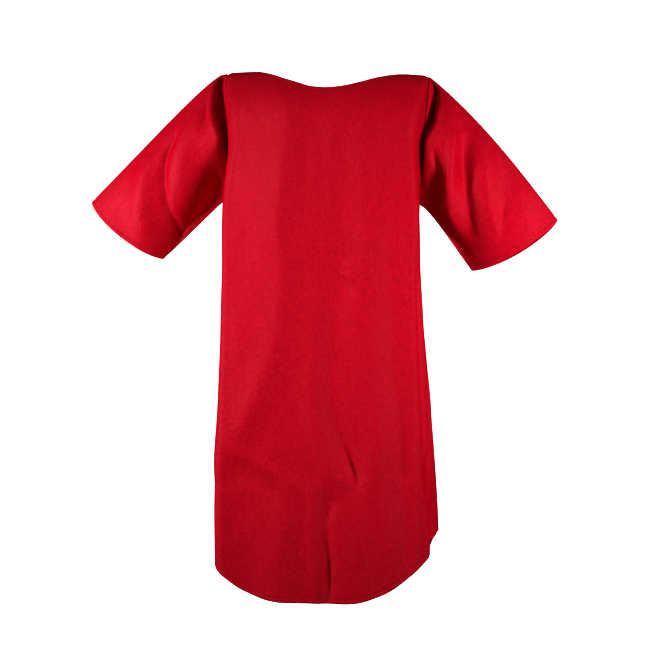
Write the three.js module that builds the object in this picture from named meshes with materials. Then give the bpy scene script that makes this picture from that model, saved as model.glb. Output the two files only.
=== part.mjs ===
// Knee-length tunic in red felted wool, four pieces: front, back and two short sleeves.
// Millimetres; +X is the right hand of someone facing the garment, -Y is its front, +Z is up.
// The origin is the middle of the shoulder line, where the garment is held.
import * as THREE from "three";

// ---- cloth ----
const WALL = 2.0; // cloth thickness
const HEM_BAND = 12; // depth of each turned hem
const HEM_EXTRA = 1.0; // what a turned hem adds on the inside
const SEAM_GAP = 0.3; // between two pieces at a seam
const SET_IN = 0.1; // a little more round the armhole, where the two edges meet at a slant
const WOOL_RED = 0xb4001c;

// ---- the two panels ----
const PANEL_ACROSS = 305; // widest half width of a panel, centre line to side seam
const ARMPIT_DOWN = 296; // armhole depth along the panel edge
const CENTRE_ARMPIT_DOWN = 396; // the armpit level where it crosses the centre line
const FACE_SHARE = 0.61; // of the half width, the flat face
const CORNER_SHARE = 0.73; // of the half width, face and rounded corner
const FACE_ARCH = 12; // how far the middle of the face stands forward of its corners
const CORNER_RADIUS = 22;
const SHOULDER_LEAN = 8; // the left shoulder is this much higher than the middle, the right this much lower

// Sections of the front from the shoulder line down.
// down: distance along the cloth, drop: height lost, depth: forward of the shoulder plane, half: half width at the corners
const FRONT = [
  { down: 0, drop: 0, depth: 0, half: 190 },
  { down: 18, drop: 2.5, depth: 17.5, half: 194 },
  { down: 40, drop: 11, depth: 37, half: 196 },
  { down: 80, drop: 38, depth: 65, half: 192 },
  { down: 125, drop: 76, depth: 85, half: 186 },
  { down: 190, drop: 138, depth: 97, half: 182 },
  { down: 250, drop: 197, depth: 104, half: 190 },
  { down: 310, drop: 257, depth: 107, half: 197 },
  { down: 450, drop: 397, depth: 109, half: 199 },
  { down: 700, drop: 647, depth: 112, half: 211 },
  { down: 900, drop: 847, depth: 115, half: 213 },
  { down: 1100, drop: 1046, depth: 118, half: 212 },
];
// Sections of the back, the same columns, depth counted backwards.
const BACK = [
  { down: 0, drop: 0, depth: 0, half: 190 },
  { down: 18, drop: 2.4, depth: 17.5, half: 191 },
  { down: 40, drop: 10, depth: 37, half: 190 },
  { down: 80, drop: 35, depth: 63, half: 184 },
  { down: 125, drop: 74, depth: 81, half: 176 },
  { down: 190, drop: 136, depth: 92, half: 168 },
  { down: 250, drop: 195, depth: 98, half: 166 },
  { down: 310, drop: 255, depth: 100, half: 168 },
  { down: 450, drop: 395, depth: 98, half: 174 },
  { down: 700, drop: 642, depth: 92, half: 184 },
  { down: 900, drop: 838, depth: 88, half: 187 },
  { down: 1100, drop: 1032, depth: 86, half: 186 },
];
// The edge of both panels: armhole above the armpit, side seam below it.
// half: distance from the middle plane, inset: how far each armhole edge lies from the shoulder plane, drop: height lost
const SIDE = [
  { down: 0, half: 204, inset: 0, drop: 7 },
  { down: 18, half: 205, inset: 10, drop: 16 },
  { down: 40, half: 205, inset: 17, drop: 33 },
  { down: 80, half: 203, inset: 25, drop: 68 },
  { down: 125, half: 200, inset: 29, drop: 107 },
  { down: 190, half: 196, inset: 27, drop: 166 },
  { down: 250, half: 190, inset: 16, drop: 220 },
  { down: 276, half: 187, inset: 9, drop: 246 },
  { down: 296, half: 186, inset: 0, drop: 262 },
  { down: 450, half: 188, inset: 0, drop: 416 },
  { down: 700, half: 208, inset: 0, drop: 666 },
  { down: 900, half: 222, inset: 0, drop: 864 },
  { down: 1100, half: 228, inset: 0, drop: 1060 },
];
// Neck opening: a shallow boat shape cut into each panel.
const NECK_HALF = 154;
const NECK_MIDDLE = 5; // its middle lies this far to the right
const NECK_DOWN = { front: 80, back: 70 };
// Shirt-tail hem: how much shorter the cloth is, by share of the half width.
const HEM = [
  { share: 0.0, rise: 0 },
  { share: 0.28, rise: 0 },
  { share: 0.39, rise: 12 },
  { share: 0.52, rise: 31 },
  { share: 0.6, rise: 53 },
  { share: 0.68, rise: 80 },
  { share: 0.76, rise: 110 },
  { share: 0.86, rise: 138 },
  { share: 1.0, rise: 152 },
];
const HEM_SHIFT = 0.025; // the hem's middle lies this share to the left
const LONGEST_DOWN = 1100; // shoulder line to hem along the centre line

// ---- sleeves ----
const CUFF_HALF_THICK = 24; // half the opening of the cuff, front to back
const ARM_HALF_THICK = 62; // the same next to the armhole
const CUFF_BOW = 16; // how far the middle of the cuff edge runs past its two ends
const CUFF_FOLD = 0.5; // 0 keeps the cuff's section an oval, more folds its top and underside
// top and under: the two ends of the cuff as x, z. roll: share of the length in which the sleeve comes forward
// crown and arch: how far the top and the underarm stand above a straight line, each with the share where it is most
const SLEEVE = {
  left: { side: -1, top: [-493, -255], under: [-341, -372], roll: 0.07, crown: 13, crownAt: 0.2, arch: 16, archAt: 0.1 },
  right: { side: 1, top: [458, -302], under: [290, -400], roll: 0.045, crown: 12, crownAt: 0.42, arch: 6, archAt: 0.25 },
};

// ---- folds ----
// A fold runs from (across, down) to (across2, down2) on the cloth; width is its half width, height its rise (a trough is negative).
const FRONT_FOLDS = [
  { across: -82, down: 120, across2: -96, down2: 840, width: 34, height: 5 },
  { across: 112, down: 130, across2: 96, down2: 640, width: 40, height: 3 },
  { across: 4, down: 690, across2: 66, down2: 880, width: 26, height: -7 },
  { across: -40, down: 700, across2: 6, down2: 900, width: 30, height: 5 },
  { across: 12, down: 900, across2: 12, down2: 1180, width: 24, height: -8 },
  { across: -66, down: 940, across2: -62, down2: 1180, width: 30, height: 4 },
  { across: -196, down: 760, across2: -200, down2: 1060, width: 22, height: 5 },
  { across: 236, down: 440, across2: 246, down2: 800, width: 18, height: -5 },
  { across: 232, down: 720, across2: 226, down2: 1020, width: 18, height: 4 },
];
const BACK_FOLDS = [
  { across: 84, down: 140, across2: 98, down2: 820, width: 36, height: 5 },
  { across: -92, down: 160, across2: -84, down2: 760, width: 34, height: 5 },
  { across: 10, down: 300, across2: -16, down2: 900, width: 30, height: -6 },
  { across: 60, down: 800, across2: 74, down2: 1180, width: 28, height: -6 },
  { across: -60, down: 860, across2: -66, down2: 1180, width: 26, height: 5 },
  { across: -232, down: 460, across2: -240, down2: 820, width: 18, height: -4 },
  { across: 236, down: 480, across2: 240, down2: 840, width: 18, height: -4 },
];
// Sleeve folds: around is 0 on top, 0.5 on the front, 1 underarm and 1.5 on the back; along is 0 at the armhole and 1 at the cuff.
const SLEEVE_FOLDS = {
  left: [
    { around: 0.12, along: 0.1, around2: 0.42, along2: 0.75, width: 24, height: -5 },
    { around: 0.5, along: 0.12, around2: 0.62, along2: 1.1, width: 26, height: 5 },
    { around: 0.84, along: 0.0, around2: 0.8, along2: 0.8, width: 20, height: -6 },
    { around: 1.5, along: 0.1, around2: 1.36, along2: 1.1, width: 26, height: -5 },
  ],
  right: [
    { around: 0.36, along: 0.06, around2: 0.52, along2: 0.8, width: 24, height: 5 },
    { around: 0.62, along: 0.02, around2: 0.72, along2: 0.9, width: 20, height: -6 },
    { around: 0.2, along: 0.2, around2: 0.3, along2: 1.1, width: 24, height: -4 },
    { around: 1.5, along: 0.1, around2: 1.62, along2: 1.1, width: 26, height: -5 },
  ],
};
const SLEEVE_GIRTH_HALF = 215; // mm that one unit of around stands for
const SLEEVE_LENGTH = 205; // mm that one unit of along stands for

// ---- mesh density ----
const FACE_STEPS = 12;
const CORNER_STEPS = 4;
const WALL_STEPS = 4;
const ARMHOLE_STEPS = 11;
const SKIRT_STEPS = 14;
const CUFF_STEPS = [0.13, 0.22, 0.33, 0.46, 0.6, 0.74, 0.87];

const clamp01 = (x) => Math.min(1, Math.max(0, x));
const smooth = (x) => clamp01(x) ** 2 * (3 - 2 * clamp01(x));

// A table read at x: every column by a cubic through its rows.
function read(table, key, x) {
  const names = Object.keys(table[0]).filter((n) => n !== key);
  const at = Math.min(Math.max(x, table[0][key]), table[table.length - 1][key]);
  let i = 0;
  while (i < table.length - 2 && table[i + 1][key] <= at) i++;
  const slope = (n, r) => {
    const lo = table[Math.max(r - 1, 0)], mid = table[r], hi = table[Math.min(r + 1, table.length - 1)];
    const before = mid[key] - lo[key], after = hi[key] - mid[key];
    if (!before) return (hi[n] - mid[n]) / after;
    if (!after) return (mid[n] - lo[n]) / before;
    return ((hi[n] - mid[n]) / after * before + (mid[n] - lo[n]) / before * after) / (before + after);
  };
  const a = table[i], b = table[i + 1], h = b[key] - a[key], q = (at - a[key]) / h;
  const out = {};
  for (const n of names)
    out[n] =
      (2 * q ** 3 - 3 * q ** 2 + 1) * a[n] + (q ** 3 - 2 * q ** 2 + q) * h * slope(n, i) +
      (3 * q ** 2 - 2 * q ** 3) * b[n] + (q ** 3 - q ** 2) * h * slope(n, i + 1);
  return out;
}

// A point on a panel, at a share across (-1 to 1) and a distance down; back is -1 for the front and 1 for the back.
function onPanel(sections, back, share, down) {
  const s = read(sections, "down", down), e = read(SIDE, "down", down);
  const inset = down <= 0 || down >= ARMPIT_DOWN ? 0 : Math.max(e.inset, 0);
  const a = Math.abs(share);
  const cornerY = Math.max(s.depth - FACE_ARCH * clamp01(s.depth / 60), 0);
  const length = Math.hypot(e.half - s.half, inset - cornerY);
  const bend = Math.min(CORNER_RADIUS, 0.45 * length);
  const wallX = s.half + (bend * (e.half - s.half)) / length;
  const wallY = cornerY + (bend * (inset - cornerY)) / length;
  const faceX = s.half - CORNER_RADIUS;
  let x, y;
  if (a < FACE_SHARE) {
    const f = a / FACE_SHARE;
    x = faceX * f;
    y = s.depth - (s.depth - cornerY) * f * f;
  } else if (a < CORNER_SHARE) {
    const c = (a - FACE_SHARE) / (CORNER_SHARE - FACE_SHARE);
    x = (1 - c) ** 2 * faceX + 2 * c * (1 - c) * s.half + c * c * wallX;
    y = (1 - c) ** 2 * cornerY + 2 * c * (1 - c) * cornerY + c * c * wallY;
  } else {
    const q = (a - CORNER_SHARE) / (1 - CORNER_SHARE);
    x = wallX + (e.half - wallX) * q;
    y = wallY + (inset - wallY) * q;
  }
  const m = smooth((a - FACE_SHARE / 2) / (1 - FACE_SHARE / 2));
  x *= Math.sign(share);
  const lean = SHOULDER_LEAN * (x / 200) * (1 - smooth((down - 250) / 600));
  return new THREE.Vector3(x, back * y, -(s.drop * (1 - m) + e.drop * m) - lean);
}

const neckDown = (share, down) => {
  const x = (FRONT[0].half - CORNER_RADIUS) * Math.min(1, Math.max(-1, share / FACE_SHARE));
  const a = Math.min(1, Math.max(-1, (x - NECK_MIDDLE) / NECK_HALF));
  return down * Math.max(0, Math.cos((Math.PI / 2) * a));
};
const hemDown = (share) => LONGEST_DOWN - read(HEM, "share", Math.abs(share + HEM_SHIFT)).rise;

// Height of the folds at a place on the cloth, both in millimetres.
function foldHeight(folds, across, down) {
  let sum = 0;
  for (const f of folds) {
    const dx = f.across2 - f.across, dy = f.down2 - f.down, l = Math.hypot(dx, dy);
    const s = ((across - f.across) * dx + (down - f.down) * dy) / (l * l);
    const d = ((across - f.across) * dy - (down - f.down) * dx) / l;
    sum += f.height * Math.exp(-((d / f.width) ** 2)) * smooth(s / 0.3) * smooth((1 - s) / 0.3);
  }
  return sum;
}

// Unit vector square to a surface point, from its neighbours a little before and after in both directions.
function squareTo(point, u, v, eu, ev) {
  const du = point(u + eu, v).sub(point(u - eu, v));
  const dv = point(u, v + ev).sub(point(u, v - ev));
  return du.cross(dv).normalize();
}

// A closed solid from two grids of points, outer and inner; ring says the columns run all the way round.
function shell(name, outer, inner, ring, flip) {
  const rows = outer.length, cols = outer[0].length;
  const position = [];
  for (const grid of [outer, inner]) for (const row of grid) for (const p of row) position.push(p.x, p.y, p.z);
  const at = (layer, r, c) => layer * rows * cols + r * cols + (c % cols);
  const index = [];
  const quad = (a, b, c, d) => (flip ? index.push(a, c, b, a, d, c) : index.push(a, b, c, a, c, d));
  const across = ring ? cols : cols - 1;
  for (let r = 0; r < rows - 1; r++)
    for (let c = 0; c < across; c++) {
      quad(at(0, r, c), at(0, r + 1, c), at(0, r + 1, c + 1), at(0, r, c + 1));
      quad(at(1, r, c), at(1, r, c + 1), at(1, r + 1, c + 1), at(1, r + 1, c));
    }
  for (let c = 0; c < across; c++) {
    quad(at(0, 0, c), at(0, 0, c + 1), at(1, 0, c + 1), at(1, 0, c));
    quad(at(0, rows - 1, c + 1), at(0, rows - 1, c), at(1, rows - 1, c), at(1, rows - 1, c + 1));
  }
  if (!ring)
    for (let r = 0; r < rows - 1; r++) {
      quad(at(0, r + 1, 0), at(0, r, 0), at(1, r, 0), at(1, r + 1, 0));
      quad(at(0, r, cols - 1), at(0, r + 1, cols - 1), at(1, r + 1, cols - 1), at(1, r, cols - 1));
    }
  const geometry = new THREE.BufferGeometry();
  geometry.setAttribute("position", new THREE.Float32BufferAttribute(position, 3));
  geometry.setIndex(index);
  geometry.computeVertexNormals();
  const mesh = new THREE.Mesh(
    geometry,
    new THREE.MeshStandardMaterial({ color: WOOL_RED, roughness: 0.95, metalness: 0 }),
  );
  mesh.name = name;
  return mesh;
}

// The direction a panel edge is thickened in at a seam: square to the cloth, kept in the plane of the seam.
function seamDirection(n) {
  const flat = new THREE.Vector3(n.x, 0, n.z), l = Math.max(flat.length(), 0.7);
  return flat.normalize().divideScalar(l);
}
const panelNormal = (sections, back, share, down) =>
  squareTo((u, v) => onPanel(sections, back, Math.min(1, Math.max(-1, u)), v), share, down, 0.004, 1.0).multiplyScalar(back);

// Shares across a panel, from one side seam to the other.
function sharesAcross() {
  const half = [];
  for (let i = 1; i <= FACE_STEPS / 2; i++) half.push((FACE_SHARE * i) / (FACE_STEPS / 2));
  for (let i = 1; i <= CORNER_STEPS; i++) half.push(FACE_SHARE + ((CORNER_SHARE - FACE_SHARE) * i) / CORNER_STEPS);
  for (let i = 1; i <= WALL_STEPS; i++) half.push(CORNER_SHARE + ((1 - CORNER_SHARE) * i) / WALL_STEPS);
  return [...half.map((h) => -h).reverse(), 0, ...half];
}

// The rows of a panel at one share across: distances down, and how much of the turned hem is there.
function rowsDown(share, neck) {
  const top = neckDown(share, neck), hem = hemDown(share);
  const armpit = ARMPIT_DOWN + (CENTRE_ARMPIT_DOWN - ARMPIT_DOWN) * (1 - share * share);
  const turned = smooth(top / 12);
  const rows = [];
  for (let i = 0; i <= ARMHOLE_STEPS; i++) {
    rows.push({ down: top + ((armpit - top) * i) / ARMHOLE_STEPS, turn: i ? 0 : turned });
    if (!i) rows.push({ down: top + HEM_BAND, turn: turned, extra: true }, { down: top + HEM_BAND + 0.5, turn: 0, extra: true });
  }
  const skirt = hem - HEM_BAND - 0.5;
  for (let i = 1; i <= SKIRT_STEPS; i++) rows.push({ down: armpit + ((skirt - armpit) * i) / SKIRT_STEPS, turn: 0 });
  rows.push({ down: skirt + 0.5, turn: 1 }, { down: hem, turn: 1 });
  return rows;
}

function panel(name, sections, back, folds, neck) {
  const outer = [], inner = [];
  for (const share of sharesAcross()) {
    rowsDown(share, neck).forEach(({ down, turn }, r) => {
      const n = panelNormal(sections, back, share, down);
      const p = onPanel(sections, back, share, down);
      const lift = foldHeight(folds, share * PANEL_ACROSS, down) * (1 - smooth((Math.abs(share) - 0.88) / 0.12)) * smooth(down / 120);
      p.addScaledVector(n, lift);
      p.y += (back * SEAM_GAP) / 2;
      const onSeam = Math.abs(share) === 1 || down < 1.5;
      const d = onSeam ? seamDirection(n) : n;
      (outer[r] ??= []).push(p.clone().addScaledVector(d, WALL / 2));
      (inner[r] ??= []).push(p.clone().addScaledVector(d, -(WALL / 2 + HEM_EXTRA * turn)));
    });
  }
  // The armhole edge runs straight past the two rows of the neck hem, so that it follows the sleeve's own edge.
  for (const grid of [outer, inner])
    for (const c of [0, grid[0].length - 1])
      for (const r of [1, 2])
        grid[r][c] = grid[0][c].clone().lerp(grid[3][c], ((HEM_BAND + (r - 1) * 0.5) * ARMHOLE_STEPS) / ARMPIT_DOWN);
  return shell(name, outer, inner, false, back > 0);
}

// A point on a sleeve: around is 0 to 2 from the top over the front, the underarm and the back; along runs from armhole to cuff.
function onSleeve(s, around, along) {
  const turn = ((around % 2) + 2) % 2;
  const front = turn <= 1;
  const share = front ? turn : 2 - turn;
  const sections = front ? FRONT : BACK, back = front ? -1 : 1;
  const start = onPanel(sections, back, s.side, share * ARMPIT_DOWN);
  const clear = SEAM_GAP + SET_IN + (WALL / 2) * Math.abs(seamDirection(panelNormal(sections, back, s.side, share * ARMPIT_DOWN)).x);
  start.x += s.side * clear;
  const c = Math.cos(Math.PI * turn), n = Math.sin(Math.PI * turn);
  const middle = [(s.top[0] + s.under[0]) / 2, (s.top[1] + s.under[1]) / 2];
  const up = [(s.top[0] - s.under[0]) / 2, (s.top[1] - s.under[1]) / 2];
  const reach = Math.hypot(...up);
  let out = [-up[1] / reach, up[0] / reach];
  if (out[0] * s.side < 0) out = out.map((v) => -v);
  const bow = CUFF_BOW * Math.abs(n) ** 1.5;
  const end = [middle[0] + up[0] * c + out[0] * bow, middle[1] + up[1] * c + out[1] * bow];
  const hump = (height, most) => height * Math.sin(Math.PI * along ** (Math.log(0.5) / Math.log(most)));
  const raise = (hump(s.crown, s.crownAt) * Math.max(c, 0) + hump(s.arch, s.archAt) * Math.max(-c, 0)) / reach;
  const rolled = smooth(along / s.roll);
  const thick = ARM_HALF_THICK * (1 - along) + CUFF_HALF_THICK * along;
  const full = -thick * n * Math.abs(n) ** (CUFF_FOLD * along);
  return new THREE.Vector3(
    start.x + (end[0] - start.x) * along + up[0] * raise,
    start.y * (1 - rolled) * (1 - along) + full * rolled,
    start.z + (end[1] - start.z) * along + up[1] * raise,
  );
}

function sleeve(name, s, folds) {
  const length = SLEEVE_LENGTH;
  const alongs = [0, 0.35 * s.roll, 0.7 * s.roll, 1.1 * s.roll, ...CUFF_STEPS, 1 - (HEM_BAND + 0.5) / length, 1 - HEM_BAND / length, 1];
  const folded = folds.map((f) => ({
    across: f.around * SLEEVE_GIRTH_HALF, down: f.along * length,
    across2: f.around2 * SLEEVE_GIRTH_HALF, down2: f.along2 * length,
    width: f.width, height: f.height,
  }));
  const cols = 2 * ARMHOLE_STEPS;
  const outer = [], inner = [];
  alongs.forEach((along, r) => {
    const row = [], rowIn = [];
    for (let i = 0; i < cols; i++) {
      const around = (2 * i) / cols;
      const point = (u, v) => onSleeve(s, u, clamp01(v));
      const p = point(around, along);
      let n;
      if (r === 0) {
        // In the plane of the armhole, square to its edge and outwards.
        const t = point(around + 0.02, 0).sub(point(around - 0.02, 0));
        n = new THREE.Vector3(0, t.z, -t.y).normalize();
      } else n = squareTo(point, around, along, 0.012, 0.006).multiplyScalar(s.side);
      const lift = foldHeight(folded, around * SLEEVE_GIRTH_HALF, along * length) * smooth((along - 0.1) / 0.25);
      p.addScaledVector(n, r ? lift : 0);
      const turn = along >= 1 - HEM_BAND / length ? 1 : 0;
      row.push(p.clone().addScaledVector(n, WALL / 2));
      rowIn.push(p.clone().addScaledVector(n, -(WALL / 2 + HEM_EXTRA * turn)));
    }
    outer.push(row);
    inner.push(rowIn);
  });
  return shell(name, outer, inner, true, s.side > 0);
}

const tunic = new THREE.Group();
tunic.name = "roman_tunic";
tunic.add(
  panel("front", FRONT, -1, FRONT_FOLDS, NECK_DOWN.front),
  panel("back", BACK, 1, BACK_FOLDS, NECK_DOWN.back),
  sleeve("sleeve_left", SLEEVE.left, SLEEVE_FOLDS.left),
  sleeve("sleeve_right", SLEEVE.right, SLEEVE_FOLDS.right),
);

export default tunic;
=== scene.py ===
import math

import bpy
import numpy as np
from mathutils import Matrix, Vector


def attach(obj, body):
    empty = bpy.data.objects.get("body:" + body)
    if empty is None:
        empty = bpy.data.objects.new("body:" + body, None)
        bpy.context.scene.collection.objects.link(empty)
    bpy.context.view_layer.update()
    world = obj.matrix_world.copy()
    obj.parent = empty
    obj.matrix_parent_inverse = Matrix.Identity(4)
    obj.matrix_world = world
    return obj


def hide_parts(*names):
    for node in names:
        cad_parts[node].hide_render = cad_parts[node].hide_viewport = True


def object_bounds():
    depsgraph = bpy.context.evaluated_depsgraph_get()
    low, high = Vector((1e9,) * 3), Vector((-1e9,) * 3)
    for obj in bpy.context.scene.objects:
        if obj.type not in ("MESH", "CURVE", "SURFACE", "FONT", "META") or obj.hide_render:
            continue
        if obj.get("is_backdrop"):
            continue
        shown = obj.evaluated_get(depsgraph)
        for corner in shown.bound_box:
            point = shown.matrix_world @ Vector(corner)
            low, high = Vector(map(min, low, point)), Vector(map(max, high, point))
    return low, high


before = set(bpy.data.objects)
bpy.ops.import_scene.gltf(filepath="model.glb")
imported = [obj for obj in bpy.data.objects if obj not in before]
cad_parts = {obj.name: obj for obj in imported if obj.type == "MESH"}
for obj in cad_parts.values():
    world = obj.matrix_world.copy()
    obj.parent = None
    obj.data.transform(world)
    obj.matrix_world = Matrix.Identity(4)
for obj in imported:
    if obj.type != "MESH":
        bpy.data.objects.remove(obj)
cad_low, cad_high = (list(corner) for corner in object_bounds())


# ---- camera ----
# Level with the middle of the garment, a little round to its right-hand side.
CAMERA_AZIMUTH = math.radians(11)
CAMERA_DISTANCE = 3.6
CAMERA_TARGET = Vector((-0.005, 0.0, -0.506))

camera = bpy.data.objects.new("camera", bpy.data.cameras.new("camera"))
bpy.context.scene.collection.objects.link(camera)
bpy.context.scene.camera = camera
camera_back = Vector((math.sin(CAMERA_AZIMUTH), -math.cos(CAMERA_AZIMUTH), 0.0))
camera.data.sensor_width = 36
camera.data.lens = 99.69
camera.location = CAMERA_TARGET + CAMERA_DISTANCE * camera_back
camera.rotation_mode = "QUATERNION"
camera.rotation_quaternion = (-camera_back).to_track_quat("-Z", "Y")


# ---- front ----
# The front panel: one length of felted wool twill, cut with a shallow boat neck, deep armholes and a curved
# shirt-tail hem. Neck and hem are turned back 10 mm and sewn down; the other edges turn in at the seams.
MM = 0.001
# the cloth and its turned edges
CLOTH = 1.6  # thickness
TURN_RADIUS = 1.15  # of the middle of the cloth, where an edge folds back on itself
EDGE_INSET = 0.9  # an edge's fold stops this far short of the seam line, so that two meet without touching
HEM_DEPTH = 10.0
SEAM_ALLOWANCE = 9.0
COLUMNS_BETWEEN = 148  # lines of a panel's grid between those of its edges
ROWS_BETWEEN = 202
# the stitching of the hems
STITCH_LINE = 8.6  # distance of the hem's stitching from the folded edge
STITCH_PITCH = 3.2
STITCH_LENGTH = 2.6
STITCH_RADIUS = 0.27
GROOVE_DEPTH = 0.55  # how far the thread pulls the cloth in
GROOVE_WIDTH = 1.3
# the shape of the panels
PANEL_ACROSS = 305.0  # half width of a panel along the cloth
ARMPIT_DOWN = 296.0
FACE_SHARE = 0.61  # of the half width, the flat face
CORNER_SHARE = 0.73  # of the half width, face and rounded corner
CORNER_RADIUS = 22.0
FACE_ARCH = 12.0  # how far the middle of the face stands forward of its corners
ARCH_DEPTH = 60.0  # how far forward the face has to be to stand out so
SHOULDER_LEAN = 8.0  # the left shoulder is this much higher than the middle
LEAN_HALF = 200.0  # half the shoulders' width
LEAN_FROM = 250.0  # where the lean starts to fade, and over how much cloth
LEAN_FADE = 600.0
NECK_HALF = 154.0  # half width of the neck opening, and where its middle lies
NECK_MIDDLE = 5.0
FRONT_NECK_DOWN = 80.0
LONGEST_DOWN = 1100.0  # from the shoulder line to the lowest part of the hem
HEM_SHIFT = 0.025  # of the half width, how far the hem's lowest part lies to the left
# folds and creases lie flat beside the side seams and at the shoulders
FLAT_SHARE = 0.9
FLAT_DOWN = 110.0

# Sections from the shoulder line down: distance down the cloth, height lost, depth forward, half width.
FRONT_SECTIONS = [
    (0, 0, 0, 190),
    (18, 2.5, 17.5, 194),
    (40, 11, 37, 196),
    (80, 38, 65, 192),
    (125, 76, 85, 186),
    (190, 138, 97, 182),
    (250, 197, 104, 190),
    (310, 257, 107, 197),
    (450, 397, 109, 199),
    (700, 647, 112, 204),
    (900, 847, 115, 206),
    (1100, 1046, 118, 203),
]
SHOULDER_FACE = FRONT_SECTIONS[0][3] - CORNER_RADIUS  # half width of the flat face at the shoulder line
# Side edge of both panels: distance down, half width, distance from the shoulder plane, height lost.
SIDE_EDGE = [
    (0, 204, 0, 7),
    (18, 205, 10, 16),
    (40, 205, 17, 33),
    (80, 203, 25, 68),
    (125, 200, 29, 107),
    (190, 196, 27, 166),
    (250, 190, 16, 220),
    (276, 187, 9, 246),
    (296, 186, 0, 262),
    (450, 188, 0, 416),
    (700, 208, 0, 666),
    (900, 222, 0, 864),
    (1100, 228, 0, 1060),
]
# Shirt-tail hem: share of the half width, how much shorter the cloth is there.
HEM_RISE = [
    (0.0, 0),
    (0.14, 0),
    (0.24, 0.5),
    (0.32, 4),
    (0.4, 12),
    (0.52, 31),
    (0.6, 51),
    (0.68, 75),
    (0.75, 96),
    (0.825, 117),
    (0.9, 134),
    (1.0, 150),
]
# Long folds that hang down the cloth, one table each: distance down, across, half width, height (a trough is
# negative).
FRONT_FOLDS = [
    # the edge of the left breast, which swings out to the hip: broad, with a sharper crest
    [(60, -70, 45, 0), (150, -78, 52, 6), (300, -80, 56, 8), (560, -80, 56, 8), (640, -96, 52, 8),
     (720, -132, 46, 7), (800, -178, 40, 5), (860, -205, 40, 0)],
    [(100, -74, 18, 0), (180, -78, 19, 1.7), (300, -80, 18, 2.2), (560, -80, 18, 2.2), (640, -96, 20, 2.2),
     (720, -132, 22, 2), (800, -178, 24, 0)],
    # the low ridge left of the middle
    [(420, -4, 24, 0), (509, -2, 24, 2.4), (606, -2, 22, 3.3), (703, -10, 22, 5), (781, 6, 20, 6),
     (839, 24, 18, 7), (900, 38, 16, 0)],
    # the slanting trough at the hip, faint at first and deep where it ends, in a wider hollow
    [(250, 45, 26, 0), (412, 47, 26, -3.3), (509, 42, 26, -4.5), (606, 36, 24, -5), (703, 32, 22, -5),
     (755, 42, 19, -5), (795, 55, 15, -8), (832, 68, 12, -11), (856, 77, 11, -9), (882, 86, 11, 0)],
    [(680, 20, 26, 0), (735, 30, 28, -4.5), (780, 46, 28, -6.5), (820, 62, 26, -6.5), (860, 78, 24, -3),
     (900, 90, 22, 0)],
    # the broad ridge beside it
    [(300, 116, 30, 0), (412, 112, 32, 4.8), (509, 104, 32, 6), (606, 108, 30, 6.6), (703, 114, 28, 8.1),
     (781, 122, 26, 9.9), (839, 122, 26, 9), (900, 128, 26, 6), (1014, 146, 26, 4.5), (1110, 156, 26, 3)],
    # the trough next to the right corner
    [(380, 148, 18, 0), (470, 152, 18, -3), (606, 156, 18, -4.8), (703, 160, 18, -5.1), (781, 168, 17, -6),
     (880, 170, 16, -4.5), (980, 176, 16, -3), (1060, 182, 16, 0)],
    # the narrow ridge that runs down into the hem, and the trough on its right
    [(860, 4, 14, 0), (920, -4, 14, 4), (975, -5, 13, 6), (1035, 1, 12, 6.5), (1110, 2, 14, 4)],
    [(850, 28, 15, 0), (905, 22, 16, -4), (955, 16, 16, -6.5), (1000, 19, 14, -9.5), (1055, 22, 13, -10.5),
     (1110, 22, 18, -4)],
    # broad swells of the skirt
    [(860, -64, 30, 0), (960, -66, 32, 6), (1110, -62, 34, 8)],
    [(880, 84, 28, 0), (980, 84, 30, 5), (1110, 90, 32, 6)],
    [(880, -150, 26, 0), (960, -146, 28, -5), (1110, -136, 28, -5)],
    # the left corner
    [(700, -194, 20, 0), (820, -197, 20, 4), (960, -199, 22, 5), (1060, -200, 22, 3)],
    # the right side wall: a fine line behind the corner, a ridge, a deep slit and a ridge behind it
    [(380, 208, 6, 0), (470, 209, 7, -5), (700, 214, 8, -6), (850, 222, 8, -4), (900, 226, 8, 0)],
    [(400, 226, 10, 0), (500, 226, 11, 5), (700, 231, 11, 7), (850, 240, 11, 5), (920, 246, 10, 0)],
    [(420, 242, 10, 0), (500, 243, 12, -12), (600, 246, 13, -18), (700, 250, 13, -20), (800, 258, 13, -16),
     (880, 264, 12, 0)],
    [(560, 264, 10, 0), (640, 266, 11, 7), (742, 270, 11, 8), (840, 280, 10, 0)],
    # shorter hollows and a ridge lower down
    [(780, 236, 9, 0), (830, 238, 11, -12), (872, 242, 11, -10.5), (920, 250, 10, 0)],
    [(880, 262, 9, 0), (930, 262, 11, -10.5), (975, 258, 10, -6), (1010, 254, 10, 0)],
    [(860, 224, 8, 0), (930, 226, 10, 6), (1000, 228, 12, 6), (1080, 228, 12, 3)],
    # the left side wall
    [(380, -232, 12, 0), (480, -236, 14, -4), (700, -242, 14, -4), (800, -244, 12, 0)],
    [(520, -258, 9, 0), (620, -256, 9, 3), (860, -252, 10, 3), (940, -250, 10, 0)],
    [(780, -240, 12, 0), (860, -248, 12, -4), (950, -258, 12, -3), (1000, -262, 12, 0)],
]
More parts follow.
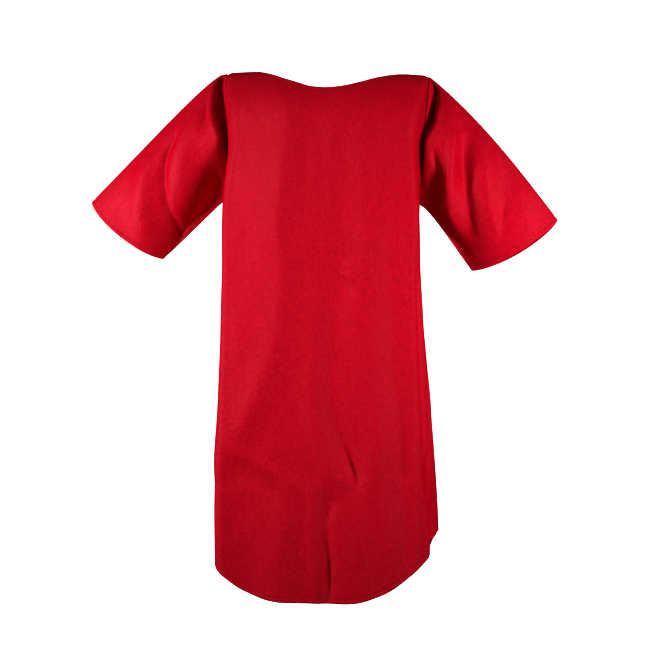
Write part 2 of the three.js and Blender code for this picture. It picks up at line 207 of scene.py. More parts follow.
# Short creases: across and down where one starts, the same where it ends, sideways bow, half width, height.
FRONT_CREASES = [
    # fine hanging streaks of the chest
    (-26, 130, -34, 430, 4, 13, -0.9),
    (32, 110, 36, 430, -4, 12, 1.0),
    (66, 150, 58, 400, 3, 15, -0.8),
    (100, 140, 96, 430, 0, 15, 1.2),
    (148, 180, 140, 520, 0, 16, -1.4),
    # small creases that spread from the middle of the chest
    (10, 422, 70, 436, 4, 8, -3.6),
    (26, 440, 92, 470, -5, 10, 3.8),
    (22, 446, 78, 510, 4, 8, -3.8),
    (96, 486, 150, 492, 3, 10, -1.8),
    (-50, 380, 6, 416, 3, 12, 0.9),
    (-60, 470, 20, 500, 3, 14, -0.8),
    # where the trough ends at the hip
    (40, 846, 70, 880, 0, 8, 3.4),
    (-12, 846, -2, 898, 0, 9, 2.8),
    (34, 884, 14, 946, 0, 13, -3.6),
    (70, 872, 110, 862, 0, 10, 1.4),
    # slanting light folds over the left thigh
    (-192, 786, -30, 900, 10, 18, 4.0),
    (-196, 826, -60, 912, 10, 20, -2.8),
    (-178, 520, -158, 640, 0, 12, 1.2),
    (-120, 930, -186, 1010, 0, 22, 1.8),
    (-90, 800, -40, 870, 0, 16, -1.6),
    # beside the two front corners
    (-192, 230, -190, 330, 0, 15, -1.6),
    (140, 838, 198, 848, 3, 12, -1.8),
    (150, 862, 200, 874, 3, 12, 1.2),
]
# all that makes this panel: facing is -1 for the front and 1 for the back, turn shifts its unevenness
FRONT_CUT = dict(
    sections=FRONT_SECTIONS, facing=-1, folds=FRONT_FOLDS, creases=FRONT_CREASES, neck=FRONT_NECK_DOWN,
    turn=0.4
)


def smooth(x):
    """Rises from 0 at 0 to 1 at 1 as 3x^2 - 2x^3, and stays level outside."""
    x = np.clip(x, 0.0, 1.0)
    return x * x * (3.0 - 2.0 * x)


def read_table(table, x):
    """Every column of a table at x, by cubics through its rows. The slope at a row is the weighted mean of
    the slopes on both sides of it."""
    table = np.array(table, float)
    at = table[:, 0]
    columns = table[:, 1:]
    slopes = np.gradient(columns, at, axis=0)
    x = np.clip(x, at[0], at[-1])
    row = np.clip(np.searchsorted(at, x, side="right") - 1, 0, len(at) - 2)
    step = at[row + 1] - at[row]
    q = ((x - at[row]) / step)[..., None]
    step = step[..., None]
    value = (2 * q**3 - 3 * q**2 + 1) * columns[row] + (q**3 - 2 * q**2 + q) * step * slopes[row]
    value += (3 * q**2 - 2 * q**3) * columns[row + 1] + (q**3 - q**2) * step * slopes[row + 1]
    return np.moveaxis(value, -1, 0)


def panel_surface(cut, share, down):
    """A point of a panel, in millimetres. Share runs from -1 at the left side edge to 1 at the right one.
    Each section has a face that is a shallow parabola, a corner that is a quadratic curve and a straight wall
    to the side edge."""
    share, down = np.broadcast_arrays(np.asarray(share, float), np.asarray(down, float))
    drop, depth, half = read_table(cut["sections"], down)
    edge_half, inset, edge_drop = read_table(SIDE_EDGE, down)
    inset = np.where((down > 0) & (down < ARMPIT_DOWN), np.maximum(inset, 0), 0)
    a = np.abs(share)
    # the corner of face and wall, and the point of the wall where the rounding of that corner ends
    corner = np.maximum(depth - FACE_ARCH * np.clip(depth / ARCH_DEPTH, 0, 1), 0)
    length = np.hypot(edge_half - half, inset - corner)
    bend = np.minimum(CORNER_RADIUS, 0.45 * length)  # a short wall leaves the corner less than half of itself
    wall_x = half + bend * (edge_half - half) / length
    wall_y = corner + bend * (inset - corner) / length
    face_x = half - CORNER_RADIUS
    # shares of the way over face, corner and wall
    f = a / FACE_SHARE
    c = np.clip((a - FACE_SHARE) / (CORNER_SHARE - FACE_SHARE), 0, 1)
    q = (a - CORNER_SHARE) / (1 - CORNER_SHARE)
    corner_x = (1 - c) ** 2 * face_x + 2 * c * (1 - c) * half + c * c * wall_x
    corner_y = (1 - c) ** 2 * corner + 2 * c * (1 - c) * corner + c * c * wall_y
    on_face = a < FACE_SHARE
    on_corner = a < CORNER_SHARE
    x = np.where(on_face, face_x * f, np.where(on_corner, corner_x, wall_x + (edge_half - wall_x) * q))
    y = np.where(
        on_face,
        depth - (depth - corner) * f * f,
        np.where(on_corner, corner_y, wall_y + (inset - wall_y) * q),
    )
    x = x * np.sign(share)
    to_side = smooth((a - FACE_SHARE / 2) / (1 - FACE_SHARE / 2))
    lean = SHOULDER_LEAN * (x / LEAN_HALF) * (1 - smooth((down - LEAN_FROM) / LEAN_FADE))
    z = -(drop * (1 - to_side) + edge_drop * to_side) - lean
    return np.stack([x, cut["facing"] * y, z], axis=-1)


def unit(v):
    """Vectors scaled to length 1."""
    return v / np.maximum(np.linalg.norm(v, axis=-1, keepdims=True), 1e-9)


def crease_height(creases, across, down):
    """Sum over the creases: each is a bell across its line, height times exp(-(distance / width)^2), that
    dies away over the first and last 30 percent of its length. Bow bends the line sideways as a parabola."""
    total = np.zeros(np.shape(across))
    for across_1, down_1, across_2, down_2, bow, width, height in creases:
        run_across = across_2 - across_1
        run_down = down_2 - down_1
        length = math.hypot(run_across, run_down)
        s = ((across - across_1) * run_across + (down - down_1) * run_down) / length**2
        d = ((across - across_1) * run_down - (down - down_1) * run_across) / length
        d = d - bow * 4 * s * (1 - s)
        total += height * np.exp(-((d / width) ** 2)) * smooth(s / 0.3) * smooth((1 - s) / 0.3)
    return total


def fold_height(folds, across, down):
    """Sum over the hanging folds: height times exp(-((across - line) / width)^2), with line, width and height
    read from the fold's table at each distance down."""
    total = np.zeros(np.shape(across))
    for fold in folds:
        line, width, height = read_table(fold, down)
        total += height * np.exp(-(((across - line) / width) ** 2))
    return total


def uneven_hang(across, down, turn):
    """The slight unevenness of hanging wool: the sum of four crossing sine waves. Each has its height, how
    far across and down it takes for one radian, and how much of the piece's own turn shifts it."""
    total = 0.0
    for height, wide, long, shift in (
        (0.45, 31.0, 92.0, 1.0),
        (0.35, 19.0, -61.0, 2.1),
        (0.22, 11.3, 37.0, 0.7),
        (0.14, 6.9, -21.0, 1.6),
    ):
        total = total + height * np.sin(across / wide + down / long + shift * turn)
    return total


def turned_edge(allowance):
    """Places along an edge that folds back on itself, three on the allowance and four round a half circle to
    the face: distance from the fold, distance behind the face, and distance along the cloth past the fold."""
    r = TURN_RADIUS
    inside = allowance * np.array([1.0, 0.72, 0.45])
    angle = np.radians([180, 135, 90, 45])
    back = np.concatenate([inside, r * (1 - np.sin(angle))])
    behind = np.concatenate([np.full(len(inside), 2 * r), r * (1 - np.cos(angle))])
    run = np.concatenate([r * math.pi / 2 + inside, r * (angle - math.pi / 2)])
    return back, behind, run


def near_edge():
    """Distances from a fold at which the face of the cloth has its first lines, closer at the stitching."""
    beside = 1.1
    groove = [STITCH_LINE - beside, STITCH_LINE, STITCH_LINE + beside]
    return np.array([TURN_RADIUS, 2.6, 4.6, 6.6, *groove, 11.5, 14.5])


def grid_lines(between, allowance, last_allowance=None):
    """The lines of a grid from one folded edge to the other. For each: the edge it is measured from (-1, 1,
    or 0 for none), its distance from that fold or its share of the way between, how far it lies behind the
    face, and how far the cloth has run on past the fold."""
    back_1, behind_1, run_1 = turned_edge(allowance)
    back_2, behind_2, run_2 = (v[::-1] for v in turned_edge(last_allowance or allowance))
    first = near_edge()
    face = np.zeros(2 * len(first) + between)
    which = np.repeat([-1, 0, 1], [len(back_1) + len(first), between, len(first) + len(back_2)])
    value = np.concatenate([back_1, first, np.linspace(0, 1, between + 2)[1:-1], first[::-1], back_2])
    behind = np.concatenate([behind_1, face, behind_2])
    run = np.concatenate([run_1, -first, np.zeros(between), -first[::-1], run_2])
    return which, value, behind, run


def stitch_groove(distance):
    """How far the thread pulls the cloth in at a distance from the folded edge: a bell at the stitching."""
    return -GROOVE_DEPTH * np.exp(-(((distance - STITCH_LINE) / GROOVE_WIDTH) ** 2))


def neck_down(cut, share):
    """How far down the neck edge lies: a cosine arch as wide as the neck, run on as straight lines beyond it,
    above the shoulders."""
    a = np.abs((SHOULDER_FACE * share / FACE_SHARE - NECK_MIDDLE) / NECK_HALF)
    return cut["neck"] * np.where(a < 1, np.cos(math.pi / 2 * np.minimum(a, 1)), math.pi / 2 * (1 - a))


def hem_down(share):
    """How far down the hem lies at a share of the half width: the longest cloth less the hem's rise there."""
    return LONGEST_DOWN - read_table(HEM_RISE, np.abs(share + HEM_SHIFT))[0]


def slant(edge, share):
    """Distance down the cloth per millimetre square to an edge: the root of one plus its slope squared."""
    step = 0.012
    slope = (edge(share + step) - edge(share - step)) / (2 * step * PANEL_ACROSS)
    return np.sqrt(1 + slope**2)


def down_from_top(cut, share, distance):
    """The line at a distance below the shoulder seams and the neck edge, whichever lies lower."""

    def neck(share):
        """The neck edge of this panel."""
        return neck_down(cut, share)

    return np.maximum(distance, neck(share) + distance * slant(neck, share))


def down_from_hem(share, distance):
    """The line at a distance above the hem."""
    return hem_down(share) - distance * slant(hem_down, share)


def panel_place(cut, share, down, behind):
    """A point of the creased panel, behind its face by a distance: the surface's point, moved along the
    direction square to it, which is the cross product of its slopes across and down."""
    step_share = 0.004
    step_down = 1.0
    low = np.clip(share - step_share, -1, 1)
    high = np.clip(share + step_share, -1, 1)
    d_share = panel_surface(cut, high, down) - panel_surface(cut, low, down)
    d_down = panel_surface(cut, share, down + step_down) - panel_surface(cut, share, down - step_down)
    square = unit(np.cross(d_share, d_down)) * cut["facing"]
    across = share * PANEL_ACROSS
    fade = (1 - smooth((np.abs(share) - FLAT_SHARE) / (1 - FLAT_SHARE))) * smooth(down / FLAT_DOWN)
    lift = fold_height(cut["folds"], across, down) + crease_height(cut["creases"], across, down)
    lift = (lift + uneven_hang(across, down, cut["turn"])) * fade
    return panel_surface(cut, share, down) + square * (lift - behind)[..., None]


def panel_grid(cut):
    """The whole panel as a grid of points: rows run from neck and shoulders to the hem, columns from the left
    edge to the right. A row's points are set out by its length, summed over many short steps. Also each
    point's place in the weave. Both are in metres."""
    which_c, value_c, behind_c, run_c = (v[None, :] for v in grid_lines(COLUMNS_BETWEEN, SEAM_ALLOWANCE))
    which_r, value_r, behind_r, run_r = (v[:, None] for v in grid_lines(ROWS_BETWEEN, HEM_DEPTH))
    first = EDGE_INSET + near_edge()[-1]

    def down_at(share):
        """How far down every row lies at a share of the half width."""
        high = down_from_top(cut, share, first)
        low = down_from_hem(share, first)
        top = down_from_top(cut, share, EDGE_INSET + value_r)
        hem = down_from_hem(share, EDGE_INSET + value_r)
        return np.where(which_r == 0, high + (low - high) * value_r, np.where(which_r < 0, top, hem))

    short_steps = 800
    fine = np.linspace(-1, 1, short_steps + 1)[None, :] + 0 * value_r
    steps = np.diff(panel_surface(cut, fine, down_at(fine)), axis=1)
    length = np.concatenate([0 * value_r, np.cumsum(np.linalg.norm(steps, axis=-1), axis=1)], axis=1)
    whole = length[:, -1:]
    place = np.where(
        which_c == 0,
        first + (whole - 2 * first) * value_c,
        np.where(which_c < 0, EDGE_INSET + value_c, whole - EDGE_INSET - value_c),
    )
    share = np.stack([np.interp(*row) for row in zip(place, length, fine)])
    down = down_at(share)
    behind = behind_c + behind_r
    # the groove of the stitching lies in the face alone, and at the top it dies out at the tips of the neck
    neck_tip = 12.0
    from_edge = np.where(which_r == 0, np.inf, value_r)
    hemmed = np.where(which_r < 0, smooth(neck_down(cut, share) / neck_tip), 1.0) * (behind == 0)
    groove = stitch_groove(from_edge) * hemmed
    points = panel_place(cut, share, down, behind - groove)
    weave_across = share * PANEL_ACROSS + which_c * (run_c + value_c)
    weave_down = down + which_r * (run_r + value_r)
    return points * MM, np.stack([weave_across, -weave_down], axis=-1) * MM


def smooth_mesh(name, points, faces):
    """An object at the origin, of a smooth-shaded mesh with these points and faces."""
    mesh = bpy.data.meshes.new(name)
    mesh.from_pydata(points.reshape(-1, 3).tolist(), [], faces)
    mesh.polygons.foreach_set("use_smooth", np.ones(len(faces), bool))
    piece = bpy.data.objects.new(name, mesh)
    bpy.context.scene.collection.objects.link(piece)
    return piece


def cloth_mesh(name, points, weave, flip):
    """A mesh from a grid of points, four corners to a face, with the weave's places as its UV map. Where the
    weave has one column more than the points, the grid is a tube, and its last column joins its first.
    Solidify then gives the cloth its thickness."""
    rows, columns = points.shape[:2]
    r, c = np.meshgrid(np.arange(rows - 1), np.arange(weave.shape[1] - 1), indexing="ij")
    corners = [(r, c), (r + 1, c), (r + 1, c + 1), (r, c + 1)]
    if flip:
        corners = corners[::-1]
    faces = np.stack([row * columns + column % columns for row, column in corners], axis=-1)
    uv = np.stack([weave[row, column] for row, column in corners], axis=2)
    piece = smooth_mesh(name, points, faces.reshape(-1, 4).tolist())
    piece.data.uv_layers.new(name="weave").data.foreach_set("uv", uv.reshape(-1))
    wall = piece.modifiers.new("cloth thickness", "SOLIDIFY")
    wall.thickness = CLOTH * MM
    wall.offset = 0.0
    return piece


def wire(node, inputs):
    """Gives named inputs of a node their fixed values, or links where a value is another node's output."""
    for name, value in inputs.items():
        if isinstance(value, bpy.types.NodeSocket):
            node.id_data.links.new(value, node.inputs[name])
        else:
            node.inputs[name].default_value = value
    return node


def felted_wool_group():
    """Node group for felted wool twill: slanting twill ribs nearly hidden under a nap that is clumped in fine
    grains, with slow cloudy changes of shade. It puts out colour, roughness and height."""
    group = bpy.data.node_groups.new("felted wool", "ShaderNodeTree")
    for way, kind, names in (
        ("INPUT", "Vector", ["Weave Place"]),
        ("INPUT", "Color", ["Colour", "Nap Colour", "Shade Colour"]),
        ("INPUT", "Float", ["Ribs Per Metre", "Grains Per Metre", "Nap Share"]),
        ("OUTPUT", "Color", ["Colour"]),
        ("OUTPUT", "Float", ["Roughness", "Height"]),
    ):
        for name in names:
            group.interface.new_socket(name=name, in_out=way, socket_type="NodeSocket" + kind)
    nodes = group.nodes
    given = nodes.new("NodeGroupInput").outputs
    result = nodes.new("NodeGroupOutput")

    def math_node(operation, *values):
        """A Math node on one or two values, each a number or another node's output."""
        node = nodes.new("ShaderNodeMath")
        node.operation = operation
        return wire(node, dict(enumerate(values))).outputs[0]

    def noise(scale, detail, roughness, stretch=None):
        """Noise over the weave; scale is how many grains go into a metre, stretch multiplies it by axis."""
        place = given["Weave Place"]
        if stretch is not None:
            mapping = wire(nodes.new("ShaderNodeMapping"), {"Vector": place, "Scale": stretch})
            place = mapping.outputs["Vector"]
        node = nodes.new("ShaderNodeTexNoise")
        wire(node, {"Vector": place, "Scale": scale, "Detail": detail, "Roughness": roughness})
        return node.outputs["Fac"]

    def between(value, low, high):
        """Where a value lies between a low and a high one, from 0 to 1."""
        node = nodes.new("ShaderNodeMapRange")
        return wire(node, {"Value": value, "From Min": low, "From Max": high}).outputs["Result"]

    def mixed(factor, a, b):
        """A colour that is the first where the factor is 0, and the second where it is 1."""
        node = nodes.new("ShaderNodeMix")
        node.data_type = "RGBA"
        return wire(node, {"Factor": factor, "A": a, "B": b}).outputs["Result"]

    # grains of the nap, clumps of about three of them, clouds of 9 cm and streaks of about 2 cm
    fine = noise(given["Grains Per Metre"], 3.0, 0.62)
    clumps = noise(math_node("MULTIPLY", given["Grains Per Metre"], 0.36), 3.0, 0.6)
    clouds = noise(11.0, 4.0, 0.55, (1.0, 0.55, 1.0))
    drag = noise(70.0, 3.0, 0.6, (1.6, 0.5, 1.0))

    # twill ribs at 45 degrees, a sine wave that wanders with the clumps of the nap
    split = wire(nodes.new("ShaderNodeSeparateXYZ"), {"Vector": given["Weave Place"]}).outputs
    rib = math_node("MULTIPLY", math_node("ADD", split["X"], split["Y"]), given["Ribs Per Metre"])
    rib = math_node("ADD", rib, math_node("MULTIPLY", clumps, 1.3))
    ribs = math_node("SINE", math_node("MULTIPLY", rib, 2 * math.pi))

    # the nap stands up in grains, more in some clumps than in others
    nap = math_node("ADD", math_node("MULTIPLY", fine, 0.62), math_node("MULTIPLY", clumps, 0.38))
    nap = math_node("ADD", nap, math_node("MULTIPLY", drag, 0.18))
    nap_mask = math_node("MULTIPLY", between(nap, 0.46, 0.74), given["Nap Share"])

    # slow changes of shade, then the lighter tips of the nap
    cloud_mask = math_node("MULTIPLY", between(clouds, 0.3, 0.7), 0.55)
    colour = mixed(nap_mask, mixed(cloud_mask, given["Colour"], given["Shade Colour"]), given["Nap Colour"])

    # the clumps are the rougher places, and grains and clumps make nearly all of the height
    rough = wire(nodes.new("ShaderNodeMapRange"), {"Value": clumps, "To Min": 0.44, "To Max": 0.58})
    height = math_node("ADD", math_node("MULTIPLY", ribs, 0.1), math_node("MULTIPLY", fine, 0.9))
    height = math_node("ADD", height, math_node("MULTIPLY", clumps, 0.7))
    wire(result, {"Colour": colour, "Roughness": rough.outputs["Result"], "Height": height})
    return group


def wool_material():
    """Red felted wool: the group's colour, roughness and height in a Principled shader with wool's sheen."""
    material = bpy.data.materials.new("red felted wool")
    material.use_nodes = True
    nodes = material.node_tree.nodes
    nodes.clear()
    weave = nodes.new("ShaderNodeUVMap")
    weave.uv_map = "weave"
    wool = nodes.new("ShaderNodeGroup")
    wool.node_tree = felted_wool_group()
    wire(wool, {
        "Weave Place": weave.outputs["UV"],
        "Colour": (0.46, 0.0001, 0.018, 1.0),
        "Shade Colour": (0.40, 0.0001, 0.0135, 1.0),
        "Nap Colour": (0.73, 0.01, 0.05, 1.0),
        "Ribs Per Metre": 520.0,
        "Grains Per Metre": 330.0,
        "Nap Share": 0.55,
    })
    bump = nodes.new("ShaderNodeBump")
    wire(bump, {"Height": wool.outputs["Height"], "Strength": 0.8, "Distance": 0.0011})
    # the nap hides the gloss where the cloth is seen at a flat angle
    edge = wire(nodes.new("ShaderNodeLayerWeight"), {"Blend": 0.5})
    gloss = nodes.new("ShaderNodeMapRange")
    facing = edge.outputs["Facing"]
    wire(gloss, {"Value": facing, "From Min": 0.22, "From Max": 0.58, "To Min": 0.35, "To Max": 0.0})
    shader = nodes.new("ShaderNodeBsdfPrincipled")
    wire(shader, {
        "Base Color": wool.outputs["Colour"],
        "Roughness": wool.outputs["Roughness"],
        "Specular IOR Level": gloss.outputs["Result"],
        "Specular Tint": (1.0, 0.3, 0.35, 1.0),
        "Sheen Weight": 0.08,
        "Sheen Roughness": 0.45,
        "Sheen Tint": (1.0, 0.07, 0.1, 1.0),
        "Normal": bump.outputs["Normal"],
    })
    wire(nodes.new("ShaderNodeOutputMaterial"), {"Surface": shader.outputs["BSDF"]})
    return material


def stitch_row(name, lines, thread):
    """Running stitches along lines of the cloth's face, as one mesh: each line is a pair of arrays, the
    points and the directions away from the cloth. Every STITCH_PITCH there is a capsule of four rings, whose
    corners are its middle plus so much along the line, sideways and away from the cloth."""
    sides = 6
    rings = 4
    angle = np.linspace(0, 2 * math.pi, sides, endpoint=False)
    half = STITCH_LENGTH / 2
    look_ahead = 0.8  # to the point of the line that gives a stitch its direction
    ring_at = half * np.array([-1.0, -0.8, 0.8, 1.0])[:, None] + 0 * angle
    ring_size = STITCH_RADIUS * np.array([0.35, 1.0, 1.0, 0.35])[:, None]
    ring_side = ring_size * np.cos(angle)
    ring_up = ring_size * np.sin(angle)
    corners = []
    for points, away in lines:
        run = np.concatenate([[0], np.cumsum(np.linalg.norm(np.diff(points, axis=0), axis=1))])
        at = np.arange(STITCH_PITCH, run[-1] - STITCH_PITCH, STITCH_PITCH)
        middle, ahead, up = (
            np.stack([np.interp(place, run, column) for column in values.T], axis=-1)
            for place, values in ((at, points), (at + look_ahead, points), (at, away))
        )
        along = unit(ahead - middle)
        up = unit(up)
        side = np.cross(along, up)
        corners.append(
            middle[:, None, None]
            + ring_at[..., None] * along[:, None, None]
            + ring_side[..., None] * side[:, None, None]
            + ring_up[..., None] * up[:, None, None]
        )
    corners = np.concatenate(corners)
    first = sides * rings * np.arange(len(corners))[:, None]
    ring = first[..., None] + sides * np.arange(rings - 1)[:, None]
    k = np.arange(sides)
    k_next = (k + 1) % sides
    walls = np.stack([ring + k, ring + k_next, ring + sides + k_next, ring + sides + k], axis=-1)
    caps = np.concatenate([first + k[::-1], first + sides * (rings - 1) + k])
    piece = smooth_mesh(name, corners * MM, walls.reshape(-1, 4).tolist() + caps.tolist())
    piece.data.materials.append(thread)
    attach(piece, "root")
    return piece


def thread_material():
    """Red sewing thread: a little deeper than the wool and smoother."""
    material = bpy.data.materials.new("red sewing thread")
    material.use_nodes = True
    wire(material.node_tree.nodes["Principled BSDF"], {
        "Base Color": (0.40, 0.0006, 0.013, 1.0),
        "Roughness": 0.5,
        "Specular IOR Level": 0.4,
        "Specular Tint": (1.0, 0.3, 0.35, 1.0),
    })
    return material


def panel_stitches(cut):
    """The lines of a panel's stitching, in the groove of the cloth's face: along the hem, and along the neck
    between its tips. A second line one millimetre further out gives the direction away from the cloth."""
    lines = []
    groove = GROOVE_DEPTH - CLOTH / 2
    to_stitch = EDGE_INSET + STITCH_LINE
    neck_tip = NECK_HALF / SHOULDER_FACE * FACE_SHARE
    # both rows stop a little short, of the side seams and of the tips of the neck
    along_hem = np.linspace(-0.96, 0.96, 1200)
    along_neck = np.linspace(-0.9 * neck_tip, 0.9 * neck_tip, 1200)
    for share, down in (
        (along_hem, down_from_hem(along_hem, to_stitch)),
        (along_neck, down_from_top(cut, along_neck, to_stitch)),
    ):
        bed, above = (panel_place(cut, share, down, 0 * share + behind) for behind in (groove, groove - 1))
        lines.append((bed, above - bed))
    return lines


red_thread = thread_material()
red_wool = wool_material()
front = cloth_mesh("front_panel", *panel_grid(FRONT_CUT), flip=False)
front.data.materials.append(red_wool)
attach(front, "root")
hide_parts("front")
front_stitches = stitch_row("front_stitches", panel_stitches(FRONT_CUT), red_thread)


# ---- back ----
# The back panel: of the same wool and shape as the front, with a slightly shallower neck. It falls closer to
# the body, and its own soft folds hang from the shoulder blades.
BACK_NECK_DOWN = 70.0
BACK_SECTIONS = [
    (0, 0, 0, 190),
    (18, 2.4, 17.5, 191),
    (40, 10, 37, 190),
    (80, 35, 63, 184),
    (125, 74, 81, 176),
    (190, 136, 92, 168),
    (250, 195, 98, 166),
    (310, 255, 100, 168),
    (450, 395, 98, 174),
    (700, 642, 92, 184),
    (900, 838, 88, 187),
    (1100, 1032, 86, 186),
]
BACK_FOLDS = [
    # long ridges from the shoulder blades
    [(80, 80, 40, 0), (180, 84, 50, 5), (400, 88, 50, 7), (700, 100, 44, 6), (860, 118, 40, 0)],
    [(80, -88, 40, 0), (190, -92, 50, 5), (420, -88, 50, 7), (680, -84, 42, 6), (800, -80, 38, 0)],
    [(160, 76, 17, 0), (260, 78, 18, 1.8), (520, 82, 18, 2), (640, 88, 18, 0)],
    # the hollow down the middle
    [(260, 12, 30, 0), (400, 8, 32, -6), (600, 0, 30, -8), (780, -12, 28, -7), (900, -18, 26, 0)],
    # folds that run into the hem
    [(780, 52, 22, 0), (860, 58, 24, -6), (980, 66, 28, -7), (1110, 74, 32, -6)],
    [(840, 26, 14, 0), (920, 30, 17, 4), (1110, 36, 24, 3)],
    [(840, -58, 22, 0), (920, -62, 26, 5), (1110, -70, 32, 5)],
    [(880, -24, 16, 0), (960, -26, 17, -4), (1110, -30, 24, -3)],
    [(860, 122, 26, 0), (950, 126, 28, 4), (1110, 130, 28, 4)],
    [(820, -140, 24, 0), (920, -142, 26, -4), (1110, -138, 26, -3)],
    # the side walls
    [(420, -230, 13, 0), (520, -234, 14, -5), (760, -240, 14, -4), (860, -242, 12, 0)],
    [(480, -256, 9, 0), (580, -254, 9, 3), (820, -250, 9, 3), (900, -248, 9, 0)],
    [(400, 232, 13, 0), (520, 236, 14, -4), (780, 240, 14, -5), (880, 242, 12, 0)],
    [(560, 258, 9, 0), (660, 256, 9, -3), (900, 248, 10, -3), (980, 246, 10, 0)],
]
BACK_CREASES = [
    # hanging streaks between the shoulder blades
    (-118, 200, -112, 560, 3, 13, -1.2),
    (26, 120, 34, 460, 4, 14, -1.0),
    (-30, 130, -24, 420, -4, 13, 1.0),
    (140, 170, 150, 520, 0, 15, -1.2),
    # small branches of the middle hollow
    (-4, 560, -46, 640, 4, 11, -1.8),
    (6, 610, 62, 690, -4, 12, -1.9),
    (-20, 700, 30, 760, 3, 10, 1.6),
    (-14, 830, 34, 930, 3, 14, -2.8),
    (26, 850, 70, 930, 0, 16, 2.2),
    # slanting folds over the seat
    (188, 800, 60, 880, -10, 14, 2.6),
    (186, 830, 70, 906, -10, 15, -2.0),
    (-190, 760, -70, 850, 10, 14, -2.2),
    (-184, 800, -60, 884, 10, 13, 2.4),
    (176, 540, 158, 660, 0, 12, 1.3),
    (-246, 860, -262, 960, 0, 13, 2.4),
]
BACK_CUT = dict(
    sections=BACK_SECTIONS, facing=1, folds=BACK_FOLDS, creases=BACK_CREASES, neck=BACK_NECK_DOWN, turn=2.3
)

back = cloth_mesh("back_panel", *panel_grid(BACK_CUT), flip=True)
back.data.materials.append(red_wool)
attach(back, "root")
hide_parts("back")
back_stitches = stitch_row("back_stitches", panel_stitches(BACK_CUT), red_thread)


# ---- sleeves ----
# Two short sleeves, each one piece of the same wool sewn to itself under the arm and set into the armhole
# with a little ease. The cuff is turned back and sewn down like the hem.
SLEEVE_SET_OUT = 0.5  # from the panel's edge to the middle of the sleeve's cloth, at the armhole
ARM_HALF_THICK = 62.0  # half of the sleeve from front to back, at the armhole and at the cuff
CUFF_HALF_THICK = 24.0
CUFF_BOW = 16.0  # how far the middle of the cuff's edge stands out beyond its top and underside
CUFF_FOLD = 0.5  # how much flatter than an oval the sleeve is at the cuff, and how much under the arm, both
UNDER_CURL = 0.5  # as a power of the sine that makes the oval
SEAM_SHARE = 0.03  # of the length, over which crown and arch grow from the armhole seam
SLEEVE_GIRTH_HALF = 215.0  # millimetres of cloth that one unit of around stands for
SLEEVE_LENGTH = 205.0  # and one unit of along
SLEEVE_ROWS = 74  # lines of the grid between those of the edges
SLEEVE_COLUMNS = 220
# Beside the sleeve head the front of the sleeve starts late and sinks in: the shares of the way from the top
# to the armpit between which this grows, and between which it dies away again.
GAP_GROWS = (0.0, 0.09)
GAP_FADES = (0.32, 0.56)
SUNK_GROWS = (0.02, 0.09)
SUNK_FADES = (0.26, 0.5)
# The sleeves' hanging folds: distance down, distance out from the middle of the garment, half width and
# height, as on the panels.
LEFT_FRONT_FOLDS = [
    # the fold down the middle, and the swells on both sides of it
    [(108, 299, 7, 0), (128, 305, 8, -4), (160, 319, 9, -6), (195, 326, 9, -6), (240, 324, 9, -6),
     (280, 318, 9, -6), (314, 306, 10, -8), (340, 294, 10, 0)],
    [(70, 258, 20, 0), (115, 278, 24, 5), (190, 290, 28, 7), (235, 288, 27, 7), (290, 280, 18, 0)],
    [(150, 356, 26, 0), (200, 370, 26, 8), (260, 376, 28, 11), (320, 372, 28, 9), (390, 364, 26, 0)],
    # the hollow beside the sleeve head
    [(22, 230, 9, 0), (50, 238, 10, -5), (90, 241, 11, -6), (130, 240, 12, 0)],
    # the deep fold out of the armpit along the underside
    [(190, 214, 9, 0), (226, 220, 12, -9), (256, 236, 14, -8), (290, 266, 14, -4), (318, 290, 12, -4),
     (345, 312, 12, 0)],
]
LEFT_BACK_FOLDS = [
    # plainer folds of the same kinds on the back
    [(80, 262, 20, 0), (150, 276, 22, 7), (230, 282, 22, 7), (300, 284, 18, 0)],
    [(110, 306, 10, 0), (170, 316, 10, -5), (250, 322, 12, -6), (320, 316, 12, 0)],
    [(200, 226, 10, 0), (240, 240, 12, -9), (290, 270, 14, -11), (340, 306, 12, 0)],
    [(190, 372, 28, 0), (260, 384, 32, 5), (340, 380, 32, 5), (390, 372, 28, 0)],
]
RIGHT_FRONT_FOLDS = [
    # the ridge that hangs from the sleeve head, the trough beside it and the broader ridge beyond
    [(50, 236, 8, 0), (76, 246, 10, 6), (119, 254, 12, 10), (206, 254, 12, 14), (274, 252, 12, 14),
     (312, 260, 12, 9), (345, 271, 12, 0)],
    [(132, 280, 12, 0), (170, 280, 12, -7), (206, 281, 12, -12), (250, 284, 13, -12),
     (300, 288, 13, -8), (345, 295, 12, 0)],
    [(116, 298, 16, 0), (160, 312, 18, 7), (206, 318, 19, 11), (250, 323, 20, 11), (300, 333, 20, 8),
     (360, 346, 20, 0)],
    # the swell towards the cuff, with a short trough across it
    [(200, 384, 28, 0), (260, 392, 30, 5), (320, 388, 32, 5), (390, 372, 30, 0)],
    [(262, 356, 9, 0), (298, 352, 10, -4), (330, 352, 10, -3), (362, 350, 10, 0)],
    # the deep fold out of the armpit along the underside, and the wedge beside it
    [(190, 212, 8, 0), (236, 217, 11, -9), (282, 229, 13, -11), (326, 252, 14, -7),
     (357, 270, 12, -3), (392, 290, 10, 0)],
    [(160, 221, 6, 0), (185, 223, 7, -8), (215, 227, 8, -10), (250, 226, 9, -9), (285, 222, 8, 0)],
]
RIGHT_BACK_FOLDS = [
    # plainer folds of the same kinds on the back
    [(90, 250, 14, 0), (150, 262, 16, 6), (230, 266, 16, 7), (310, 272, 14, 0)],
    [(150, 296, 12, 0), (210, 300, 12, -6), (280, 306, 13, -7), (340, 306, 12, 0)],
    [(140, 330, 18, 0), (220, 344, 20, 5), (300, 352, 20, 5), (370, 350, 18, 0)],
    [(200, 214, 9, 0), (250, 222, 12, -9), (310, 248, 13, -11), (370, 284, 12, 0)],
]
